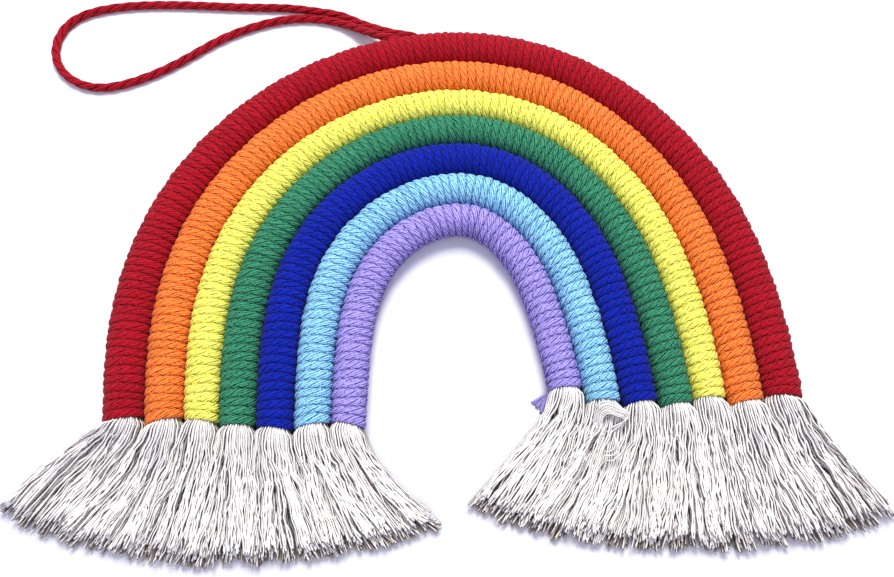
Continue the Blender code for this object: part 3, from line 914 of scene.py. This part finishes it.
# %% Set the yarns out in a neck
YARNS = 185
LOCK_COLUMNS = 7
LOCK_ROWS = 3
LOCKS = LOCK_COLUMNS * LOCK_ROWS
GOLDEN_TURN = math.pi * (3.0 - math.sqrt(5.0))

Seeds = namedtuple("Seeds", "across up even level column tier lock")


def sort_into(share, count):
    """Which of a number of equal boxes a share from 0 to 1 falls into."""
    return np.clip((share * count).astype(int), 0, count - 1)


def seeds_of_neck():
    """The yarns' places in a round neck of radius 1 and in the flat pile.

    Yarn n is sqrt((n + 1/2) / yarns) from the middle, at n golden turns. Its even place is
    2 / pi (arcsin x + x sqrt(1 - x^2)), -1 to 1, which spreads the disc evenly over a width, and
    its level, 0 to 1, is its height in the disc as a share of the disc's height there.
    """
    number = np.arange(YARNS)
    spread = np.sqrt((number + 0.5) / YARNS)
    across = spread * np.cos(number * GOLDEN_TURN)
    up = spread * np.sin(number * GOLDEN_TURN)
    half = np.sqrt(1.0 - across ** 2)
    even = 2.0 / math.pi * (np.arcsin(across) + across * half)
    level = (up / half + 1.0) / 2
    column = sort_into((even + 1.0) / 2, LOCK_COLUMNS)
    tier = sort_into(level, LOCK_ROWS)
    return Seeds(across, up, even, level, column, tier, column * LOCK_ROWS + tier)


seeds = seeds_of_neck()
print("yarns in a tassel:", YARNS, "in", LOCKS, "locks")

# %% [markdown]
# Where a yarn's tip lies comes first. Locks swing to one side or the other together, a few yarns
# stray, and what would lie past the fringe's edge is drawn in to it. The yarns that lie low are cut
# a little longer than those on top, so the heap's cut ends make a band in front.

# %% Find the yarns' tips
LOCK_PINCH = 0.05
SWING_LOW = 0.05
SWING_RISE = 0.12
SCATTER = 0.07
STRAY_SCATTER = 0.5
FAN_SPREAD = 1.3
EDGE_INSET = 0.014
EDGE_GIVE = 0.25
UPPER_SHARE = 0.955
LOWER_SHARE = 1.052
LOWER_LEVEL = 0.3
LEVEL_STEP = 0.2
LOCK_RAGGED = 0.014
YARN_RAGGED = 0.036
RAGGED_LIMITS = (-0.08, 0.045)


def place_in_fringe(chance, stray, low, high):
    """Each yarn's place as a share of the fringe's width, for a tassel from low to high."""
    middle = (seeds.column + 0.5) / LOCK_COLUMNS * 2.0 - 1.0
    swing = chance.normal(0.0, 1.0, LOCKS)[seeds.lock] * (SWING_LOW + SWING_RISE * seeds.level)
    placed = FAN_SPREAD * (middle + (seeds.even - middle) * (1.0 - LOCK_PINCH)) + swing
    placed = placed + chance.normal(0.0, SCATTER, YARNS)
    placed = placed + stray * chance.normal(0.0, STRAY_SCATTER, YARNS)
    place = low + (high - low) * (placed + 1.0) / 2
    inside = np.clip(place, EDGE_INSET, 1.0 - EDGE_INSET)
    return inside + (place - inside) * EDGE_GIVE


def cut_lengths(chance):
    """Each yarn's length as a share of the fringe's: longer in the lower layer, and ragged."""
    raised = soft_step((seeds.level - LOWER_LEVEL) / LEVEL_STEP)
    layer = LOWER_SHARE + (UPPER_SHARE - LOWER_SHARE) * raised
    ragged = chance.normal(0.0, LOCK_RAGGED, LOCKS)[seeds.lock]
    ends = np.clip(chance.normal(0.0, YARN_RAGGED, YARNS), *RAGGED_LIMITS)
    return layer + (ragged + ends * (1.0 + raised) / 2)


# %% [markdown]
# Seen from above a yarn leaves the neck straight on and bends over to its tip, and at the fringe's
# outer edges it is swung out at once. It swells out of the winding with its neck, waves across its
# way, a whole lock together and a little on its own, and near their ends the tips draw together in
# small tufts.

# %% Draw the yarns from above
YARN_STEPS = 23
STEP_POWER = 1.2
CUT_SHARE = 0.987
STRAIGHT = 2.5 * MM
AWAY_SHARE = 0.2
TURN_SHARE = 0.12
SWUNG_TURN = 0.45
NECK_SHARE = 0.82
NECK_BULGE = 0.28
NECK_INSET = 2.5 * MM
BULGE_START = 0.2 * MM
BULGE_REACH = 4.2 * MM
BULGE_END = 0.25
BULGE_FADE = 0.5
STRAYS = 0.10
WAVED = 0.4
YarnWave = namedtuple("YarnWave", "whole_lock shortest longest size")
YARN_WAVES = (
    YarnWave(True, 18 * MM, 34 * MM, 0.50 * MM),
    YarnWave(True, 8 * MM, 13 * MM, 0.22 * MM),
    YarnWave(False, 6 * MM, 11 * MM, 0.26 * MM),
)
WAVE_SIZES = (0.4, 1.4)
TIP_COLUMNS = 13
TIP_PINCH = 0.2
TIP_PINCH_POWER = 5

Plan = namedtuple("Plan", "flat way share bulge stray")


def wave_across(chance, way):
    """How far waves carry each yarn to the side: size sin(2 pi way / wave + start), summed."""
    wave = np.zeros(way.shape)
    for kind in YARN_WAVES:
        group = seeds.lock if kind.whole_lock else np.arange(YARNS)
        sizes = kind.size * chance.uniform(*WAVE_SIZES, YARNS)[group, None]
        step = chance.uniform(kind.shortest, kind.longest, YARNS)[group, None]
        start = chance.uniform(0.0, math.tau, YARNS)[group, None]
        wave = wave + sizes * np.sin(math.tau * way / step + start)
    return wave


def draw_tips(tip):
    """How far each tip is drawn towards the middle of its tuft, in x and y."""
    tuft = sort_into((seeds.even + 1.0) / 2, TIP_COLUMNS) * LOCK_ROWS + seeds.tier
    count = TIP_COLUMNS * LOCK_ROWS
    total = np.maximum(np.bincount(tuft, minlength=count), 1)
    middles = [np.bincount(tuft, weights=tip[:, axis], minlength=count) / total for axis in range(2)]
    return (np.stack(middles, axis=1)[tuft] - tip) * TIP_PINCH


def plan_yarns(chance, neck, fan, low, high):
    """The yarns of a tassel seen from above.

    A yarn is the curve root (1-s)^3 + away 3 s (1-s)^2 + turn 3 s^2 (1-s) + tip s^3, with waves
    across it that grow from the root.
    """
    tips, swung = fan
    stray = chance.uniform(0.0, 1.0, YARNS) < STRAYS
    root = neck.centre + neck.along * (seeds.across * (neck.radius * NECK_SHARE))[:, None]
    root = root + neck.out * (neck.slant / 2 * seeds.across)[:, None]
    place = place_in_fringe(chance, stray, low, high)
    reach = (tips(place) - root) * cut_lengths(chance)[:, None]
    tip = root + reach
    long = np.linalg.norm(reach, axis=1)
    edge = swung(place)
    away = root + neck.out * (STRAIGHT + AWAY_SHARE * long * (1.0 - edge))[:, None]
    turn = root + reach / 2 + neck.out * (long * (TURN_SHARE - SWUNG_TURN * edge))[:, None]

    steps = np.linspace(0.0, 1.0, YARN_STEPS - 2) ** STEP_POWER
    share = np.concatenate([[0.0], steps, [1.0]])
    share[-2] = CUT_SHARE
    s = share[None, :, None]
    flat = root[:, None] * (1 - s) ** 3 + away[:, None] * 3 * s * (1 - s) ** 2
    flat = flat + turn[:, None] * 3 * s ** 2 * (1 - s) + tip[:, None] * s ** 3
    flat = flat + (draw_tips(tip) * (1.0 - stray)[:, None])[:, None] * s ** TIP_PINCH_POWER

    way = share[None, :] * long[:, None]
    sideways = np.stack([-reach[:, 1], reach[:, 0]], axis=1) / long[:, None]
    waved = wave_across(chance, way) * soft_step(share / WAVED)
    flat = flat + sideways[:, None] * waved[..., None]
    flat[:, 0] -= neck.out * NECK_INSET
    bulge = soft_step((way - BULGE_START) / BULGE_REACH)
    bulge = bulge * (1.0 - soft_step((share - BULGE_END) / BULGE_FADE))
    swell = seeds.across[:, None] * neck.radius * NECK_BULGE * bulge
    return Plan(flat + neck.along * swell[..., None], way, share, bulge, stray)


# %% [markdown]
# Seen from the side a yarn sinks from its height in the round neck to its height in the flat pile,
# and ripples a little. A material can't know where on a yarn it is or which yarn it is on, so two
# numbers are stored for it on the mesh: the share of the yarn's length, and a tone for each yarn.

# %% Comb out the tassels
YARN_SIDES = 3
YARN_RADIUS = 0.47 * MM
YARN_GIRTHS = (0.85, 1.15)
ROOT_GIRTH = 0.97
ADDED_GIRTH = 0.12
STRAY_RADIUS = 0.65
STRAY_LIFT = 0.6 * MM
PILE_HEIGHT = 7.6 * MM
PILE_POWER = 0.8
LEVEL_POWER = 0.7
SETTLED = 0.7
Ripple = namedtuple("Ripple", "long size")
LOCK_RIPPLE = Ripple(15 * MM, 0.22 * MM)
YARN_RIPPLE = Ripple(8 * MM, 0.25 * MM)
YARN_TONES = (-0.28, 0.07)


def heights_of(chance, neck, plan):
    """The yarns' heights: round + (flat - round + ripple) settled."""
    thick = neck.radius * NECK_SHARE
    settled = soft_step(plan.share / SETTLED)[None, :]
    pile = 2.0 * thick + (PILE_HEIGHT - 2.0 * thick) * plan.share[None, :] ** PILE_POWER
    in_neck = neck.radius * (1.0 + seeds.up[:, None] * (NECK_SHARE + NECK_BULGE * plan.bulge))
    in_pile = YARN_RADIUS + seeds.level[:, None] ** LEVEL_POWER * (pile - 2.0 * YARN_RADIUS)
    starts = chance.uniform(0.0, math.tau, YARNS)
    ripple = plan.stray[:, None] * STRAY_LIFT
    for kind, start in ((LOCK_RIPPLE, starts[seeds.lock]), (YARN_RIPPLE, starts)):
        ripple = ripple + kind.size * np.sin(math.tau * plan.way / kind.long + start[:, None])
    return np.maximum(in_neck + (in_pile - in_neck + ripple) * settled, YARN_RADIUS)


def girths_of(chance, plan):
    """The yarns' radii at each step: a little finer at the root, and finer in strays."""
    girth = YARN_RADIUS * (ROOT_GIRTH + ADDED_GIRTH * soft_step(plan.share / WAVED))
    girth = girth * chance.uniform(*YARN_GIRTHS, (YARNS, 1))
    return girth * np.where(plan.stray, STRAY_RADIUS, 1.0)[:, None]


def mark_yarns(piece, strands, shares):
    """Give a piece's points what its material reads: a share of the length, and a tone a yarn."""
    count = len(piece.data.vertices)
    tones = np.random.default_rng(count).uniform(*YARN_TONES, strands)
    marks = {"share": np.resize(shares, count), "tone": np.repeat(tones, count // strands)}
    for name, values in marks.items():
        attribute = piece.data.attributes.new(name, "FLOAT", "POINT")
        attribute.data.foreach_set("value", values.astype(np.float32))


def comb_out(fringe):
    """The seven tassels of one side, each a piece of many yarns."""
    ranks = list(range(len(ARCHES)))
    if fringe.side == "left":
        ranks.reverse()
    necks = [neck_of(rank, fringe.side) for rank in ranks]
    fan = fan_of(fringe, necks)
    widths = np.array([neck.radius for neck in necks])
    marks = np.concatenate([[0.0], np.cumsum(widths)]) / widths.sum()
    chance = np.random.default_rng(fringe.seed)
    for neck, low, high in zip(necks, marks[:-1], marks[1:]):
        plan = plan_yarns(chance, neck, fan, low, high)
        heights = heights_of(chance, neck, plan)
        paths = np.concatenate([plan.flat, heights[..., None]], axis=-1)
        girth = girths_of(chance, plan)
        radii = np.broadcast_to(girth[..., None], (YARNS, YARN_STEPS, YARN_SIDES))
        name = fringe.side + "_" + ARCHES[neck.rank].name
        tassel = add_mesh("yarns_" + name, *carry_tubes(paths, radii, turned=QUARTER))
        along = np.concatenate([np.repeat(plan.share, YARN_SIDES), [0.0, 1.0]])
        mark_yarns(tassel, YARNS, along)
        tassel.data.materials.append(natural_yarn)
        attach(tassel, "root")
        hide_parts("tassel_" + name)


for fringe in FRINGES:
    comb_out(fringe)

# %% [markdown]
# ## A bundle folded over
# At the right foot, on the sky-blue rope's tassel, a bundle of yarns is folded over to the right
# and tucked under itself. Two strands return below it, and further down a few yarns hang in open
# bends. Two lines are given for each, its outer and its inner yarn. The yarns between them are
# blends of the two lines, which keeps them side by side all the way round the fold.

# %% Fold the bundle
FOLD_OUTER = route(
    (54.6, -71.5, 9.5), (55.2, -65.4, 13.3), (56.8, -61.4, 15.9), (59.5, -60.6, 16.6),
    (62.5, -61.5, 16.7), (65.6, -63.0, 16.2), (67.9, -64.6, 15.1), (67.7, -66.2, 13.5),
    (66.7, -67.4, 11.7), (66.2, -68.8, 10.3), (66.0, -70.6, 8.1),
)
FOLD_INNER = route(
    (59.0, -73.5, 9.3), (58.4, -68.6, 12.5), (58.5, -66.0, 14.7), (59.8, -65.0, 15.7),
    (61.6, -65.2, 15.9), (63.6, -65.9, 15.5), (65.5, -66.0, 14.7), (65.8, -66.7, 12.9),
    (65.2, -67.8, 11.3), (64.8, -69.0, 10.1), (64.6, -70.6, 7.9),
)
TUCK_OUTER = route(
    (67.6, -64.4, 14.5), (67.2, -66.4, 13.9), (65.0, -67.9, 13.5), (62.2, -69.2, 12.9),
    (59.8, -70.8, 11.1),
)
TUCK_INNER = route(
    (66.8, -65.0, 14.1), (66.4, -67.0, 13.3), (64.6, -68.7, 12.9), (62.4, -70.3, 12.1),
    (60.6, -72.2, 10.9),
)
BEND_OUTER = route(
    (63.1, -74.7, 14.2), (63.3, -77.9, 13.7), (62.5, -80.5, 12.9), (60.1, -81.5, 12.6),
    (58.0, -81.3, 12.2),
)
BEND_INNER = route(
    (61.7, -72.9, 14.3), (62.1, -75.7, 13.8), (61.4, -77.4, 13.5), (60.2, -78.1, 13.3),
    (58.3, -78.3, 12.8),
)
Sheaf = namedtuple("Sheaf", "outer inner yarns")
FOLDS = (
    Sheaf(FOLD_OUTER, FOLD_INNER, 8),
    Sheaf(BEND_OUTER, BEND_INNER, 3),
    Sheaf(TUCK_OUTER, TUCK_INNER, 2),
)
FOLD_RADIUS = 0.36 * MM
FOLD_SHARE = 0.5
FOLD_STEPS = 44
FOLD_WANDER = 0.035
FOLD_WAVES = (5.0, 14.0)
FOLD_STAGGER = 40.0
FOLD_SEED = 31


def blend_lines(fold, chance):
    """Lines between two lines: (1 - t) outer + t inner for t from 0 to 1, each a little moved."""
    shares = np.linspace(0.0, 1.0, FOLD_STEPS)
    outer, inner = (smooth_line(line, shares)[0] for line in (fold.outer, fold.inner))
    blend = np.linspace(0.0, 1.0, fold.yarns)[:, None]
    waved = np.sin(shares * chance.uniform(*FOLD_WAVES, (fold.yarns, 1)) + blend * FOLD_STAGGER)
    blend = (blend + FOLD_WANDER * waved)[..., None]
    return outer * (1.0 - blend) + inner * blend


def fold_bundle():
    """The folded bundle, the open bends below it and the strands tucked under it, as one piece."""
    chance = np.random.default_rng(FOLD_SEED)
    paths = np.concatenate([blend_lines(fold, chance) for fold in FOLDS])
    girth = FOLD_RADIUS * chance.uniform(*YARN_GIRTHS, (len(paths), 1, 1))
    radii = girth * np.ones((FOLD_STEPS, YARN_SIDES))
    piece = add_mesh("folded_bundle", *carry_tubes(paths, radii, turned=QUARTER))
    mark_yarns(piece, len(paths), FOLD_SHARE)
    piece.data.materials.append(natural_yarn)
    return piece


folded_bundle = fold_bundle()
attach(folded_bundle, "root")

# %% [markdown]
# ## The lavender cord's end
# Beside the right foot the lavender cord's cut end sticks out from under its winding, untwisted
# into thirteen fine strands. They leave one place in a fan, bow over and sink to the surface.

# %% Fray the cord's end
CORD_END_ROOT = Place(40.6 * MM, -53.8 * MM)
CORD_END_LEANS = (-61.0, -22.0)
CORD_END_LENGTH = 9.0 * MM
CORD_END_WIDTH = 0.6 * MM
CORD_END_STRANDS = 13
CORD_END_STEPS = 12
CORD_END_RADIUS = 0.34 * MM
CORD_END_HEIGHT = 4.2 * MM
CORD_END_HEIGHTS = (0.6, 1.0)
CORD_END_SCATTER = 0.05
CORD_END_BOW = 0.4
CORD_END_UNEVEN = 0.1
CORD_END_LENGTHS = (0.85, 1.05)
CORD_END_SEED = 5

lavender = DYES_IN_LIGHT[0]
# The lavender's painted highlight colour and its painted shade colour, mixed by the yarn's painted
# shade.
lavender_yarn = yarn_material("lavender_yarn", linear(*lavender.light), linear(*lavender.deep), 0.25)


def fray_end():
    """Strands that leave one point in a narrow fan, lying on the surface."""
    chance = np.random.default_rng(CORD_END_SEED)
    across = np.linspace(-1.0, 1.0, CORD_END_STRANDS)[:, None]
    share = np.linspace(0.0, 1.0, CORD_END_STEPS)
    first, last = np.radians(CORD_END_LEANS)
    fanned = (across + 1.0) / 2 + chance.normal(0.0, CORD_END_SCATTER, across.shape)
    lean = first + (last - first) * fanned * share ** CORD_END_BOW
    length = CORD_END_LENGTH * (1.0 - CORD_END_UNEVEN * (1.0 - across))
    length = length * chance.uniform(*CORD_END_LENGTHS, across.shape) * share
    x = CORD_END_ROOT.x + CORD_END_WIDTH * across + np.sin(lean) * length
    y = CORD_END_ROOT.y - np.cos(lean) * length
    z = CORD_END_HEIGHT * (1.0 - share) * chance.uniform(*CORD_END_HEIGHTS, across.shape)
    z = z + CORD_END_RADIUS
    paths = np.stack([x, y, z], axis=-1)
    radii = np.full((CORD_END_STRANDS, CORD_END_STEPS, YARN_SIDES), CORD_END_RADIUS)
    piece = add_mesh("cord_end", *carry_tubes(paths, radii, turned=QUARTER))
    mark_yarns(piece, CORD_END_STRANDS, FOLD_SHARE)
    return piece


cord_end = fray_end()
cord_end.data.materials.append(lavender_yarn)
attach(cord_end, "root")
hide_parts("cord_end_lavender")

# %% [markdown]
# ## The surface and the light
# The hanging lies on a plain white surface in soft light. A wide lamp behind and above the arches
# models the cords, a weak one in front opens the shadows, and a world of bluish white tints what
# they leave. The light is bright enough for the surface to come out white, so the view transform
# is Standard, which keeps white white and the dyes strong.

# %% Set the stage
FLOOR_HALF = 1.5
FLOOR_COLOUR = (0.83, 0.83, 0.86)
FLOOR_ROUGHNESS = 0.9
WORLD_COLOUR = (0.70, 0.69, 1.0)
WORLD_STRENGTH = 0.63
Lamp = namedtuple("Lamp", "name place size strength colour")
LAMPS = (
    Lamp("key_light", (0.02, 0.45, 0.8), 0.4, 9.0, (1.0, 1.0, 0.90)),
    Lamp("front_fill", (0.0, -0.5, 1.0), 0.6, 2.2, (1.0, 1.0, 0.92)),
)


def add_floor():
    """A wide square of plain matt white."""
    corners = np.array([(-1, -1, 0), (1, -1, 0), (1, 1, 0), (-1, 1, 0)], float) * FLOOR_HALF
    floor = add_mesh("floor", corners, [np.array([[0, 1, 2, 3]])], [np.zeros((1, 4, 2))], smooth=False)
    material, _, shader = start_material("white_surface")
    shader.inputs["Base Color"].default_value = (*FLOOR_COLOUR, 1.0)
    shader.inputs["Roughness"].default_value = FLOOR_ROUGHNESS
    floor.data.materials.append(material)


def add_softbox(lamp):
    """A square light that faces the middle of the hanging."""
    data = bpy.data.lights.new(lamp.name, "AREA")
    data.size = lamp.size
    data.energy = lamp.strength
    data.color = lamp.colour
    softbox = bpy.data.objects.new(lamp.name, data)
    softbox.location = lamp.place
    away = np.array(lamp.place) / np.linalg.norm(lamp.place)
    turn = math.atan2(away[1], away[0]) + math.pi / 2
    softbox.rotation_euler = (math.acos(away[2]), 0.0, turn)
    bpy.context.scene.collection.objects.link(softbox)


add_floor()
world = bpy.data.worlds.new("studio")
world.use_nodes = True
background = world.node_tree.nodes["Background"]
background.inputs["Color"].default_value = (*WORLD_COLOUR, 1.0)
background.inputs["Strength"].default_value = WORLD_STRENGTH
bpy.context.scene.world = world
for lamp in LAMPS:
    add_softbox(lamp)
bpy.context.scene.view_settings.view_transform = "Standard"
print("lamps:", [lamp.name for lamp in LAMPS])

# %% [markdown]
# ## Finish
# The view layer is brought up to date.

# %% Finish
bpy.context.view_layer.update()
